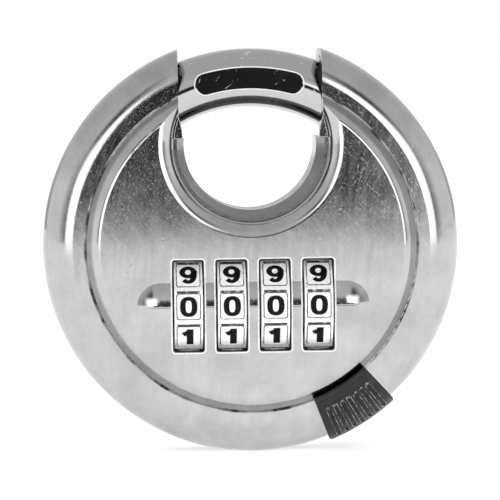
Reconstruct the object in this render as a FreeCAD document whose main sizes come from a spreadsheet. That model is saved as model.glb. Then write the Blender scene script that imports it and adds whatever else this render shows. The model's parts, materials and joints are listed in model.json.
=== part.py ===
import FreeCAD, Part
import math
import os
import re

import Sketcher

# A combination disc padlock: round pressed steel case, rotary shackle, four dials.
# Every piece is drawn about the disc's centre: +X right, +Z up, the front toward -Y.
# Each sub-part is then lowered, so that the origin is the middle of the exposed
# shackle bar, where the lock hangs.

SIZES = {
    # shared gaps, and how far cutting shapes run on
    "hair_gap": 0.05,
    "small_gap": 0.1,
    "easy_gap": 0.2,
    "cut_margin": 2.0,
    "reach": 40.0,
    # pressed steel case
    "wall": 1.2,
    "rim_radius": 35.0,
    "rim_round": 5.2,
    "crown_height": 8.4,
    "corner_round": 0.5,
    "flank_angle": 55.0,
    "shoulder_round": 1.34,
    "plateau_radius": 25.2,
    "plateau_height": 11.0,
    "seam_chamfer": 0.25,
    "gap_half_width": 12.0,
    # eye through the case
    "eye_centre": 17.0,
    "eye_radius": 11.1,
    "eye_mouth_radius": 12.3,
    "neck_radius": 12.9,
    "funnel_round": 2.5,
    "liner_half_height": 8.2,
    "liner_waist": 4.6,
    "liner_top": 18.0,
    # shackle
    "bar_radius": 4.95,
    "bar_ring_radius": 28.0,
    "tip_angle": 126.0,
    "tail_angle": 104.0,
    "recess_angle": 15.2,
    "recess_half_width": 1.85,
    "recess_depth": 0.38,
    "recess_end_round": 1.87,
    "channel_clearance": 0.1,
    "channel_span": 359.9,
    "passage_clearance": 0.4,
    "guide_end_gap": 0.5,
    "notch_half_width": 2.6,
    "notch_half_height": 2.4,
    "notch_floor": 24.6,
    "stop_angle": 4.0,
    "stop_gap_angle": 1.0,
    "opening_angle": 66.0,
    # lever on the rim
    "lever_angle": -58.3,
    "lever_span": 20.9,
    "lever_gap": 0.2,
    "lever_skin": 0.7,
    "lip_foot": 0.3,
    "lip_inset": 0.6,
    "lip_low": 1.05,
    "lip_high": 1.5,
    "lip_top": 1.55,
    "valley_start": 0.7,
    "slot_half_height": 2.1,
    "slot_margin_angle": 2.0,
    "web_half_height": 1.9,
    "web_span": 9.0,
    "web_foot": 33.9,
    "web_root": 0.5,
    "post_radius": 1.8,
    "post_foot": 30.0,
    "post_top": 34.6,
    "screw_radius": 0.7,
    "screw_foot": 31.5,
    "screw_head_radius": 1.3,
    "screw_head_height": 0.5,
    "groove_width": 0.5,
    "groove_depth": 0.35,
    "groove_pitch": 2.45,
    "groove_start": 29.4,
    "groove_end_angle": 66.8,
    # dials and their windows
    "dial_pitch": 7.2,
    "dial_height": -9.6,
    "dial_depth": 4.25,
    "dial_apothem": 8.5,
    "dial_width": 4.7,
    "dial_bore": 6.9,
    "dial_rib_radius": 6.1,
    "dial_rib_width": 1.2,
    "rib_root": 0.4,
    "window_width": 5.4,
    "window_height": 15.5,
    "window_reach": 6.0,
    "window_round": 0.6,
    "boss_half_length": 15.4,
    "boss_round": 8.9,
    "boss_top": 11.9,
    "index_half_length": 17.6,
    "index_half_width": 0.25,
    "index_depth": 0.4,
    "index_point": 1.0,
    # tumbler hubs and spindle
    "hub_radius": 5.9,
    "hub_land": 0.9,
    "hub_rib_radius": 6.8,
    "hub_rib_width": 1.0,
    "flange_radius": 5.3,
    "flange_gap": 0.2,
    "flange_width": 1.0,
    "sleeve_radius": 3.0,
    "spindle_radius": 2.0,
    "running_fit": 0.06,
    "gate_near": 3.0,
    "gate_low": 5.0,
    "gate_high": 1.5,
    "collar_width": 0.95,
    "clip_width": 0.4,
    "clip_groove_radius": 1.7,
    "clip_radius": 2.6,
    "clip_inset": 0.3,
    "clip_gap": 0.15,
    "spindle_left": -18.9,
    "spindle_right": 18.5,
    # code change cam
    "cam_centre": 17.7,
    "cam_radius": 1.75,
    "cam_collar_radius": 4.1,
    "cam_collar_height": 0.9,
    "cam_head_radius": 3.2,
    "cam_throw": 0.65,
    "cam_pin_radius": 0.8,
    "cam_pin_reach": 0.55,
    "cam_pin_room": 1.0,
    "cam_pin_relief": 0.85,
    "cam_slot_half_width": 0.9,
    "cam_slot_depth": 0.75,
    "driver_half_length": 2.4,
    "driver_half_width": 0.4,
    "driver_depth": 0.8,
    # locking bolt, which carries the fence
    "bolt_travel": 1.6,
    "fin_offset": 3.2,
    "fin_width": 1.3,
    "fin_side_gap": 0.3,
    "fin_near": -1.05,
    "fin_top": -14.2,
    "fin_foot": -15.4,
    "bar_near": 5.0,
    "bar_far": 7.4,
    "bar_top": -11.0,
    "toe_half_width": 2.2,
    "toe_half_depth": 2.0,
    "toe_top": -19.2,
    "toe_sole": -20.6,
    "toe_tip": -22.7,
    "bolt_clearance": 0.4,
    # inner castings
    "core_radius": 22.4,
    "core_half_height": 9.6,
    "core_eye_radius": 16.0,
    "pocket_radius": 9.3,
    "pocket_width": 4.9,
    "flange_bore": 5.6,
    "bore_left": -14.4,
    "bore_right": 16.3,
    "core_screw_radius": 1.0,
    "core_screw_half_length": 8.0,
    "core_head_radius": 1.5,
    "core_head_height": 1.0,
    "ring_inner_radius": 24.2,
    "ring_height": 7.1,
    # springs
    "spring_strip": 0.3,
    "spring_half_width": 1.1,
    "spring_half_depth": 0.8,
    "bolt_spring_top": -4.0,
    "spring_seat_near": 1.8,
    "spring_seat_far": 5.2,
    "cone_thickness": 0.25,
    "leaf_near": 4.35,
    "leaf_thickness": 0.3,
    "leaf_half_length": 13.4,
    "leaf_room": 0.6,
    "leaf_top": -1.1,
    "leaf_neck": -2.6,
    "leaf_foot": -6.6,
    "finger_width": 3.4,
}

DIALS = 4
FACETS = 10
LEVER_GROOVES = 7
SPRING_LEGS = 6
DIAL_RIB_ANGLE = 7
HUB_RIB_ANGLE = 8.5
HALF_FACET = 180 // FACETS
HALF_TRAIN = (DIALS - 1) / 2

doc = FreeCAD.newDocument("disc_padlock")
sheet = doc.addObject("Spreadsheet::Sheet", "Sizes")
for row, (alias, size) in enumerate(SIZES.items(), start=1):
    sheet.set(f"A{row}", alias)
    sheet.set(f"B{row}", str(size))
    sheet.setAlias(f"B{row}", alias)
doc.recompute()

WORD = re.compile(r"\b(" + "|".join(SIZES) + r")\b")
SUBPARTS = []


def cells(formula):
    """The formula with each size's name written as its spreadsheet cell."""
    return WORD.sub(r"Sizes.\1", str(formula))


def number(formula):
    return float(sheet.evalExpression(cells(formula)))


def bind(thing, **formulas):
    for path, formula in formulas.items():
        thing.setExpression(path.replace("__", "."), cells(formula))


def turn(thing, axis, degrees, **base):
    """Turns a feature about one axis, and moves it to base, both bound to the sheet."""
    thing.Placement.Rotation = FreeCAD.Rotation(axis, number(degrees))
    if not isinstance(degrees, int):
        thing.setExpression("Placement.Rotation.Angle", cells(degrees))
    for direction, formula in base.items():
        thing.setExpression(f"Placement.Base.{direction}", cells(formula))


X_AXIS = FreeCAD.Vector(1, 0, 0)
Y_AXIS = FreeCAD.Vector(0, 1, 0)
Z_AXIS = FreeCAD.Vector(0, 0, 1)


ACROSS = ("-reach", "reach")

# ---------- plain solids ----------


def box(name, x, y, z):
    """A block between two places along each axis."""
    block = doc.addObject("Part::Box", name)
    bind(block, Length=f"({x[1]}) - ({x[0]})")
    bind(block, Width=f"({y[1]}) - ({y[0]})")
    bind(block, Height=f"({z[1]}) - ({z[0]})")
    bind(block, Placement__Base__x=x[0], Placement__Base__y=y[0], Placement__Base__z=z[0])
    return block


def rod(name, along, radius, start, end, first="0", second="0"):
    """A cylinder along x or y; first and second are its other two coordinates, in order."""
    bar = doc.addObject("Part::Cylinder", name)
    bind(bar, Radius=radius, Height=f"({end}) - ({start})")
    if along == "x":
        turn(bar, Y_AXIS, 90, x=start, y=first, z=second)
    else:
        turn(bar, X_AXIS, -90, x=first, y=start, z=second)
    return bar


def radial_rod(name, radius, start, end):
    """A cylinder on the lever's own radius, from one distance to another."""
    bar = doc.addObject("Part::Cylinder", name)
    bind(bar, Radius=radius, Height=f"({end}) - ({start})")
    turn(
        bar,
        Y_AXIS,
        "90 - lever_angle",
        x=f"({start}) * cos(lever_angle)",
        z=f"({start}) * sin(lever_angle)",
    )
    return bar


def joined(name, pieces):
    union = doc.addObject("Part::MultiFuse", name)
    union.Shapes = list(pieces)
    return union


def minus(name, base, tools):
    cut = doc.addObject("Part::Cut", name)
    cut.Base = base
    cut.Tool = joined(f"{name}_tools", tools) if len(tools) > 1 else tools[0]
    return cut


def shared(name, first, second):
    overlap = doc.addObject("Part::MultiCommon", name)
    overlap.Shapes = [first, second]
    return overlap


def mirrored(name, source):
    """The same shape on the other side of the seam plane."""
    image = doc.addObject("Part::Mirroring", name)
    image.Source = source
    image.Normal = Y_AXIS
    return image


def subpart(thing, label, x="0", y="0", z="0"):
    """Names a finished piece, and moves it from the disc's frame to the lock's."""
    thing.Label = label
    bind(
        thing,
        Placement__Base__x=x,
        Placement__Base__y=y,
        Placement__Base__z=f"({z}) - bar_ring_radius",
    )
    SUBPARTS.append(thing)
    return thing


# ---------- sketches ----------


def sketch_on(body, name, role, offset=None):
    """A sketch on one of the body's own origin planes, or offset along its normal."""
    sketch = body.newObject("Sketcher::SketchObject", name)
    plane = next(f for f in body.Origin.OriginFeatures if f.Role == role)
    sketch.AttachmentSupport = [(plane, "")]
    sketch.MapMode = "FlatFace"
    if offset is not None:
        sketch.setExpression("AttachmentOffset.Base.z", cells(offset))
    return sketch


def pin_corner(sketch, edge, end, x, y):
    for kind, formula in (("DistanceX", x), ("DistanceY", y)):
        rule = Sketcher.Constraint(kind, -1, 1, edge, end, number(formula))
        index = sketch.addConstraint(rule)
        sketch.setExpression(f"Constraints[{index}]", cells(formula))


def arc_between(start, end, radius, side):
    """The arc from start to end whose centre lies on the given side of the way."""
    chord = end - start
    left = FreeCAD.Vector(-chord.y, chord.x, 0).normalize()
    rise = math.sqrt(max(radius**2 - chord.Length**2 / 4, 0))
    centre = (start + end) * 0.5 + left * (rise if side == "left" else -rise)
    first, last = (start, end) if side == "left" else (end, start)
    begin = math.atan2(first.y - centre.y, first.x - centre.x)
    finish = math.atan2(last.y - centre.y, last.x - centre.x)
    if finish <= begin:
        finish += 2 * math.pi
    return Part.ArcOfCircle(Part.Circle(centre, Z_AXIS, radius), begin, finish)


def outline(sketch, corners, bends=None):
    """A closed outline; bends gives the radius and side of the arc after a corner."""
    bends = bends or {}
    points = [FreeCAD.Vector(number(x), number(y), 0) for x, y in corners]
    ends = []
    for i, start in enumerate(points):
        end = points[(i + 1) % len(points)]
        if i not in bends:
            ends.append((sketch.addGeometry(Part.LineSegment(start, end), False), 1, 2))
            continue
        radius, side = bends[i]
        edge = sketch.addGeometry(arc_between(start, end, number(radius), side), False)
        index = sketch.addConstraint(Sketcher.Constraint("Radius", edge, number(radius)))
        sketch.setExpression(f"Constraints[{index}]", cells(radius))
        ends.append((edge, 1, 2) if side == "left" else (edge, 2, 1))
    for i, (x, y) in enumerate(corners):
        edge, begin, _ = ends[i]
        before, _, finish = ends[i - 1]
        sketch.addConstraint(Sketcher.Constraint("Coincident", before, finish, edge, begin))
        pin_corner(sketch, edge, begin, x, y)


def ring_outline(sketch, x, radius):
    centre = FreeCAD.Vector(number(x), 0, 0)
    edge = sketch.addGeometry(Part.Circle(centre, Z_AXIS, number(radius)), False)
    index = sketch.addConstraint(Sketcher.Constraint("Radius", edge, number(radius)))
    sketch.setExpression(f"Constraints[{index}]", cells(radius))
    pin_corner(sketch, edge, 3, x, "0")


def revolved(name, corners, bends=None, span=None, begin=None, height=None, axis="V_Axis"):
    """A body turned from a half section in the XY plane, whole or over a span."""
    body = doc.addObject("PartDesign::Body", name)
    sketch = sketch_on(body, f"{name}_section", "XY_Plane")
    outline(sketch, corners, bends)
    turned = body.newObject("PartDesign::Revolution", f"{name}_turned")
    turned.Profile = sketch
    turned.ReferenceAxis = (sketch, [axis])
    turned.Angle = 360
    if span is not None:
        turned.setExpression("Angle", cells(span))
        turn(body, Y_AXIS, begin)
    if height is not None:
        bind(body, Placement__Base__z=height)
    return body


def bent_bar(name, radius, begin, span):
    """A round bar bent along the shackle's ring, clockwise from the begin angle."""
    body = doc.addObject("PartDesign::Body", name)
    sketch = sketch_on(body, f"{name}_section", "XY_Plane")
    ring_outline(sketch, "bar_ring_radius", radius)
    turned = body.newObject("PartDesign::Revolution", f"{name}_bend")
    turned.Profile = sketch
    turned.ReferenceAxis = (sketch, ["V_Axis"])
    turned.setExpression("Angle", cells(span))
    turn(body, Y_AXIS, f"-({begin})")
    return body


def padded(name, role, corners, bends, low, length, midplane=False):
    """A body raised from an outline, from low along the plane's normal."""
    body = doc.addObject("PartDesign::Body", name)
    sketch = sketch_on(body, f"{name}_outline", role, low)
    outline(sketch, corners, bends)
    pad = body.newObject("PartDesign::Pad", f"{name}_pad")
    pad.Profile = sketch
    pad.setExpression("Length", cells(length))
    pad.Midplane = midplane
    return body


# ---------- case shells ----------

FLANK_RUN = (
    "(plateau_height - crown_height - (shoulder_round + corner_round)"
    " * (1 - cos(flank_angle))) / tan(flank_angle)"
)
CROWN_EDGE = (
    "(plateau_radius + (shoulder_round + corner_round) * sin(flank_angle)"
    f" + {FLANK_RUN})"
)


def dome(name, inset, bevel):
    """The front half of the case as a filled dome, its surface set in by inset."""
    corners = [
        ("0", "0"),
        (f"rim_radius - {inset} - {bevel}", "0"),
        (f"rim_radius - {inset}", f"-{bevel}"),
        (f"rim_radius - {inset}", "-(crown_height - rim_round)"),
        ("rim_radius - rim_round", f"-(crown_height - {inset})"),
        (CROWN_EDGE, f"-(crown_height - {inset})"),
        (
            f"{CROWN_EDGE} - (corner_round + {inset}) * sin(flank_angle)",
            f"-(crown_height + corner_round - (corner_round + {inset}) * cos(flank_angle))",
        ),
        (
            f"plateau_radius + (shoulder_round - {inset}) * sin(flank_angle)",
            "-(plateau_height - shoulder_round"
            f" + (shoulder_round - {inset}) * cos(flank_angle))",
        ),
        ("plateau_radius", f"-(plateau_height - {inset})"),
        ("0", f"-(plateau_height - {inset})"),
    ]
    bends = {
        3: (f"rim_round - {inset}", "right"),
        5: (f"corner_round + {inset}", "left"),
        7: (f"shoulder_round - {inset}", "right"),
    }
    return revolved(name, corners, bends)


def funnel(name, inset):
    """The space of the eye: a neck that rounds out into the plateau."""
    corners = [
        ("0", "cut_margin"),
        (f"neck_radius + {inset}", "cut_margin"),
        (f"neck_radius + {inset}", "-(plateau_height - funnel_round)"),
        ("neck_radius + funnel_round", f"-(plateau_height - {inset})"),
        ("neck_radius + funnel_round", "-(plateau_height + cut_margin)"),
        ("0", "-(plateau_height + cut_margin)"),
    ]
    bends = {2: (f"funnel_round - {inset}", "left")}
    return revolved(name, corners, bends, height="eye_centre")


def boss(name, inset):
    """The low capsule across the dials, pressed out of the plateau."""
    radius = f"boss_round - {inset}"
    depth = "-(boss_top - boss_round)"
    swell = [rod(f"{name}_bar", "x", radius, "-boss_half_length", "boss_half_length",
                 depth, "dial_height")]
    for side, sign in (("left", "-"), ("right", "")):
        ball = doc.addObject("Part::Sphere", f"{name}_{side}")
        bind(
            ball,
            Radius=radius,
            Placement__Base__x=f"{sign}boss_half_length",
            Placement__Base__y=depth,
            Placement__Base__z="dial_height",
        )
        swell.append(ball)
    across = ("-rim_radius", "rim_radius")
    slab = box(f"{name}_slab", across, ("-(boss_top + cut_margin)", "-crown_height"), across)
    return shared(name, joined(f"{name}_swell", swell), slab)


def case_gap(name, margin):
    """The gap in the rim where the shackle is bare."""
    half = f"gap_half_width + {margin}"
    return box(name, (f"-({half})", half), ACROSS, ("eye_centre", "reach"))


def slot_sector(name):
    """The lever slot, cut only through the outside of the ring channel."""
    sweep = "opening_angle + web_span + 2 * slot_margin_angle"
    corners = [
        ("bar_ring_radius", "-slot_half_height"),
        ("reach", "-slot_half_height"),
        ("reach", "slot_half_height"),
        ("bar_ring_radius", "slot_half_height"),
    ]
    begin = "-(lever_angle + web_span / 2 + slot_margin_angle)"
    return revolved(name, corners, None, sweep, begin)


def channel(name, clearance):
    return bent_bar(name, f"bar_radius + {clearance}", "180", "channel_span")


def window_punch(number_of_dial):
    """A window with rounded corners, through the front plateau."""
    half_w = "window_width / 2"
    half_h = "window_height / 2"
    bend = "window_round"
    corners = [
        (f"-{half_w} + {bend}", f"-{half_h}"),
        (f"{half_w} - {bend}", f"-{half_h}"),
        (half_w, f"-{half_h} + {bend}"),
        (half_w, f"{half_h} - {bend}"),
        (f"{half_w} - {bend}", half_h),
        (f"-{half_w} + {bend}", half_h),
        (f"-{half_w}", f"{half_h} - {bend}"),
        (f"-{half_w}", f"-{half_h} + {bend}"),
    ]
    bends = {1: (bend, "left"), 3: (bend, "left"), 5: (bend, "left"), 7: (bend, "left")}
    punch = padded(f"window_{number_of_dial}", "XZ_Plane", corners, bends, "dial_apothem",
                   "window_reach")
    bind(
        punch,
        Placement__Base__x=dial_place(number_of_dial),
        Placement__Base__z="dial_height",
    )
    return punch


def dial_place(number_of_dial):
    return f"dial_pitch * {number_of_dial - (DIALS + 1) / 2}"


def index_groove():
    """The engraved index line along the boss, pointed at both ends."""
    point = "index_half_length - index_point"
    corners = [
        ("-index_half_length", "0"),
        (f"-({point})", "-index_half_width"),
        (point, "-index_half_width"),
        ("index_half_length", "0"),
        (point, "index_half_width"),
        (f"-({point})", "index_half_width"),
    ]
    low = "boss_top - index_depth"
    groove = padded("index_groove", "XZ_Plane", corners, None, low, "cut_margin")
    bind(groove, Placement__Base__z="dial_height")
    return groove


def make_shells():
    passage = channel("shell_passage", "passage_clearance")
    outer = minus(
        "front_outside",
        joined("front_swell", [dome("dome_outside", "0", "seam_chamfer"), boss("boss_outside", "0")]),
        [funnel("funnel_outside", "0")],
    )
    inner = minus(
        "front_inside",
        joined("front_hollow", [dome("dome_inside", "wall", "running_fit"), boss("boss_inside", "wall")]),
        [funnel("funnel_inside", "wall")],
    )
    windows = [window_punch(i) for i in range(1, DIALS + 1)]
    cuts = [inner, case_gap("front_gap", "0"), slot_sector("front_slot"), passage]
    front = minus("front_case", outer, cuts + windows + [index_groove()])
    subpart(front, "front_shell")

    back = mirrored("back_outside", minus("back_blank", dome("back_dome", "0", "seam_chamfer"),
                                          [funnel("back_funnel", "0")]))
    hollow = mirrored("back_inside", minus("back_hollow", dome("back_dome_in", "wall", "running_fit"),
                                           [funnel("back_funnel_in", "wall")]))
    cam_hole = rod("cam_hole", "y", "cam_head_radius + small_gap", "core_half_height",
                   "plateau_height + cut_margin", "cam_centre", "dial_height")
    cuts = [
        hollow,
        case_gap("back_gap", "0"),
        slot_sector("back_slot"),
        channel("back_passage", "passage_clearance"),
        cam_hole,
    ]
    subpart(minus("back_case", back, cuts), "rear_shell")


# ---------- eye liner, guide rings and stops ----------


def make_eye_liner():
    half = "liner_half_height"
    corners = [
        ("neck_radius", f"-{half}"),
        ("neck_radius", half),
        ("eye_mouth_radius", half),
        ("eye_radius", "liner_waist"),
        ("eye_radius", "-liner_waist"),
        ("eye_mouth_radius", f"-{half}"),
    ]
    tube = revolved("liner_tube", corners, height="eye_centre")
    above = box("liner_above", ACROSS, ACROSS, ("liner_top", "reach"))
    subpart(minus("liner_cup", tube, [above]), "eye_liner")


def guide_ring_blank(name):
    """One half of the channel that the shackle turns in, toward the front."""
    outer = "rim_radius - wall - small_gap"
    round_part = "rim_round - wall - small_gap"
    corners = [
        ("ring_inner_radius", "0"),
        (outer, "0"),
        (outer, "-(crown_height - rim_round)"),
        ("rim_radius - rim_round", "-ring_height"),
        ("ring_inner_radius", "-ring_height"),
    ]
    ring = revolved(f"{name}_ring", corners, {2: (round_part, "right")})
    eye = rod(f"{name}_eye", "y", "neck_radius + wall + easy_gap", *ACROSS, "0", "eye_centre")
    cuts = [
        channel(f"{name}_channel", "channel_clearance"),
        eye,
        case_gap(f"{name}_gap", "guide_end_gap"),
        slot_sector(f"{name}_slot"),
    ]
    return minus(name, ring, cuts)


def make_guide_rings():
    subpart(guide_ring_blank("front_guide"), "guide_ring_front")
    subpart(mirrored("rear_guide", guide_ring_blank("rear_guide_blank")), "guide_ring_rear")


def make_stops():
    """Two short plugs in the channel, one where the tip rests and one for the tail."""
    radius = "bar_radius + hair_gap"
    tip_begin = "tip_angle + stop_angle + stop_gap_angle"
    tip_stop = bent_bar("tip_stop", radius, tip_begin, "stop_angle")
    tail_begin = "-(tail_angle + opening_angle + stop_gap_angle)"
    tail_stop = bent_bar("tail_stop", radius, tail_begin, "stop_angle")
    subpart(joined("stops", [tip_stop, tail_stop]), "shackle_stops")


# ---------- shackle and lever ----------


def shackle_recess():
    """A shallow arc with round ends, sunk into the front of the bare bar."""
    inner = "(bar_ring_radius - recess_half_width)"
    outer = "(bar_ring_radius + recess_half_width)"
    left = "(90 + recess_angle)"
    right = "(90 - recess_angle)"
    corners = [
        (f"{inner} * cos({left})", f"{inner} * sin({left})"),
        (f"{inner} * cos({right})", f"{inner} * sin({right})"),
        (f"{outer} * cos({right})", f"{outer} * sin({right})"),
        (f"{outer} * cos({left})", f"{outer} * sin({left})"),
    ]
    end = "recess_end_round"
    bends = {0: (inner, "right"), 1: (end, "left"), 2: (outer, "left"), 3: (end, "left")}
    return padded("recess", "XZ_Plane", corners, bends, "bar_radius - recess_depth",
                  "cut_margin")


def make_shackle():
    bar = bent_bar("bar", "bar_radius", "tip_angle", "tip_angle + tail_angle")
    half = "notch_half_width"
    depth = "notch_half_height"
    inside = "-(bar_ring_radius - bar_radius - cut_margin)"
    notch = box("notch", (f"-{half}", half), (f"-{depth}", depth), ("-notch_floor", inside))
    post_hole = radial_rod("post_hole", "post_radius", "post_foot", "reach")
    subpart(minus("shackle_bar", bar, [shackle_recess(), notch, post_hole]), "shackle")


def lever_saddle():
    """The cap's section: a channel over the rim with a lip, a valley and a round face."""
    inside = "lever_gap"
    skin = "(lever_gap + lever_skin)"
    edge = "-(crown_height - rim_round)"
    half = [
        (f"rim_radius + {inside}", edge),
        ("rim_radius - rim_round", f"-(crown_height + {inside})"),
        ("bar_ring_radius + lip_foot", f"-(crown_height + {inside})"),
        ("bar_ring_radius - lip_inset", "-(crown_height + lip_low)"),
        ("bar_ring_radius - lip_inset", "-(crown_height + lip_high)"),
        ("bar_ring_radius", "-(crown_height + lip_top)"),
        ("bar_ring_radius + valley_start", f"-(crown_height + {skin})"),
        ("rim_radius - rim_round", f"-(crown_height + {skin})"),
        (f"rim_radius + {skin}", edge),
    ]
    back = [(x, y[1:]) for x, y in reversed(half)]
    bends = {
        0: (f"rim_round + {inside}", "right"),
        7: (f"rim_round + {skin}", "left"),
        9: (f"rim_round + {skin}", "left"),
        16: (f"rim_round + {inside}", "right"),
    }
    begin = "-(lever_angle + lever_span / 2)"
    return revolved("saddle", half + back, bends, "lever_span", begin)


def lever_web():
    corners = [
        ("web_foot", "-web_half_height"),
        ("rim_radius + web_root", "-web_half_height"),
        ("rim_radius + web_root", "web_half_height"),
        ("web_foot", "web_half_height"),
    ]
    return revolved("web", corners, None, "web_span", "-(lever_angle + web_span / 2)")


def lever_groove(place):
    """One of the grip grooves, cut into the front of the cap, and its twin at the rear."""
    inner = "(rim_round + lever_gap + lever_skin - groove_depth)"
    beyond = f"({inner} + cut_margin)"
    edge = "crown_height - rim_round"
    start = "rim_radius - rim_round"
    above = f"-({edge} + {beyond})"
    corners = [
        ("groove_start", f"-({edge} + {inner})"),
        (start, f"-({edge} + {inner})"),
        (
            f"{start} + {inner} * sin(groove_end_angle)",
            f"-({edge} + {inner} * cos(groove_end_angle))",
        ),
        (
            f"{start} + {beyond} * sin(groove_end_angle)",
            f"-({edge} + {beyond} * cos(groove_end_angle))",
        ),
        (f"{start} + {beyond}", above),
        ("groove_start", above),
    ]
    cutter = padded(f"grip_{place}", "XY_Plane", corners, {1: (inner, "left")}, "0",
                    "groove_width", midplane=True)
    turn(cutter, Y_AXIS, f"-(lever_angle + groove_pitch * {place - LEVER_GROOVES // 2})")
    return [cutter, mirrored(f"rear_grip_{place}", cutter)]


def make_lever():
    head_foot = "rim_radius + lever_gap + lever_skin - screw_head_height"
    blank = joined("lever_blank", [lever_saddle(), lever_web()])
    cuts = [
        radial_rod("cap_post_hole", "post_radius", "web_foot - cut_margin", "post_top"),
        radial_rod("cap_screw_hole", "screw_radius", "post_top - cut_margin", "reach"),
        radial_rod("cap_head_hole", "screw_head_radius", head_foot, "reach"),
    ]
    for place in range(LEVER_GROOVES):
        cuts += lever_groove(place)
    subpart(minus("lever_saddle_cut", blank, cuts), "lever_cap")

    post = radial_rod("post_blank", "post_radius", "post_foot", "post_top")
    tapping = radial_rod("post_tapping", "screw_radius", "screw_foot", "post_top + cut_margin")
    subpart(minus("post", post, [tapping]), "lever_post")

    shank = radial_rod("screw_shank", "screw_radius", "screw_foot", head_foot)
    head = radial_rod("screw_head", "screw_head_radius", head_foot,
                      "rim_radius + lever_gap + lever_skin - hair_gap")
    subpart(joined("screw", [shank, head]), "lever_screw")


# ---------- dials, hubs and spindle ----------


def polar(radius, degrees):
    return (f"({radius}) * cos({degrees})", f"({radius}) * sin({degrees})")


def ribs(body, name, low, length, inner, outer, half_angle, turned):
    """One rib along the axis, repeated once for each facet of the dial."""
    sketch = sketch_on(body, f"{name}_outline", "YZ_Plane", low)
    corners = [
        polar(inner, turned - half_angle),
        polar(outer, turned - half_angle),
        polar(outer, turned + half_angle),
        polar(inner, turned + half_angle),
    ]
    outline(sketch, corners)
    rib = body.newObject("PartDesign::Pad", f"{name}_rib")
    rib.Profile = sketch
    rib.setExpression("Length", cells(length))
    pattern = body.newObject("PartDesign::PolarPattern", f"{name}_ribs")
    pattern.Originals = [rib]
    pattern.Axis = (sketch, ["N_Axis"])
    pattern.Angle = 360
    pattern.Occurrences = FACETS
    body.Tip = pattern


def make_dial(index):
    """A ten-sided ring with a digit facet on each side and driving ribs in its bore."""
    corner = f"dial_apothem / cos({HALF_FACET})"
    corners = [polar(corner, HALF_FACET + 2 * HALF_FACET * i) for i in range(FACETS)]
    low = "-dial_width / 2"
    body = padded(f"dial_blank_{index}", "YZ_Plane", corners, None, low, "dial_width")
    sketch = sketch_on(body, f"dial_bore_{index}", "YZ_Plane", "dial_width / 2")
    ring_outline(sketch, "0", "dial_bore")
    bore = body.newObject("PartDesign::Pocket", f"dial_pocket_{index}")
    bore.Profile = sketch
    bore.Type = "ThroughAll"
    bore.Midplane = True
    ribs(body, f"dial_{index}", low, "dial_rib_width", "dial_rib_radius",
         "dial_bore + rib_root", DIAL_RIB_ANGLE, 0)
    subpart(body, f"dial_{index}", dial_place(index), "-dial_depth", "dial_height")


def make_hub(index):
    """A tumbler hub: splines that carry the dial, and a gated flange beside it."""
    half = "dial_width / 2"
    flange = f"({half} + flange_gap)"
    bore = "(spindle_radius + running_fit)"
    sleeve_end = f"({half} + dial_pitch - dial_width - hair_gap)"
    corners = [(f"-{half}", bore)]
    if index < DIALS:
        corners += [(sleeve_end, bore), (sleeve_end, "sleeve_radius")]
        corners += [(f"{flange} + flange_width", "sleeve_radius")]
    else:
        corners += [(f"{flange} + flange_width", bore)]
    corners += [
        (f"{flange} + flange_width", "flange_radius"),
        ("hub_land", "flange_radius"),
        ("hub_land", "hub_radius"),
        (f"-{half}", "hub_radius"),
    ]
    body = revolved(f"hub_blank_{index}", corners, axis="H_Axis")
    ribs(body, f"hub_{index}", f"-{half} + small_gap", "hub_rib_width",
         "hub_radius - rib_root", "hub_rib_radius", HUB_RIB_ANGLE, HALF_FACET)
    gate = box(f"gate_{index}", (flange, f"{flange} + flange_width"),
               ("gate_near", "flange_radius + cut_margin"), ("-gate_low", "-gate_high"))
    hub = minus(f"hub_gated_{index}", body, [gate])
    subpart(hub, f"hub_{index}", dial_place(index), "-dial_depth", "dial_height")


def hub_stack_left():
    return f"-({HALF_TRAIN} * dial_pitch + dial_width / 2)"


def on_spindle(name, radius, start, end):
    return rod(name, "x", radius, start, end, "-dial_depth", "dial_height")


def make_spindle():
    """The shaft of the hubs, with a stop collar, two clip grooves and the cam slot."""
    left = f"{hub_stack_left()} - hair_gap"
    shaft = on_spindle("shaft", "spindle_radius", "spindle_left", "spindle_right")
    collar = on_spindle("collar", "sleeve_radius", f"{left} - collar_width", left)
    slot_centre = "(cam_centre - cam_throw)"
    slot = box(
        "cam_slot",
        (f"{slot_centre} - cam_slot_half_width", f"{slot_centre} + cam_slot_half_width"),
        ("-dial_depth - cam_slot_depth", "0"),
        ("dial_height - sleeve_radius", "dial_height + sleeve_radius"),
    )
    places = clip_places()
    cuts = [slot]
    clips = []
    for i, (start, end) in enumerate(places):
        groove = minus(
            f"clip_groove_{i}",
            on_spindle(f"groove_outside_{i}", "sleeve_radius", start, end),
            [on_spindle(f"groove_core_{i}", "clip_groove_radius", start, end)],
        )
        cuts.append(groove)
        washer = minus(
            f"clip_{i}",
            on_spindle(f"clip_outside_{i}", "clip_radius", start, end),
            [on_spindle(f"clip_bore_{i}", "clip_groove_radius", start, end)],
        )
        clips.append(washer)
    subpart(minus("spindle_cut", joined("spindle_blank", [shaft, collar]), cuts), "spindle")
    subpart(joined("clips", clips), "spindle_clips")


def clip_places():
    """The two retaining clips: at the spindle's left end, and right of the last hub."""
    flange_end = "dial_width / 2 + flange_gap + flange_width"
    right = f"({HALF_TRAIN} * dial_pitch + {flange_end} + hair_gap)"
    left = "(spindle_left + clip_inset)"
    return [(left, f"{left} + clip_width"), (right, f"{right} + clip_width")]


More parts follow.
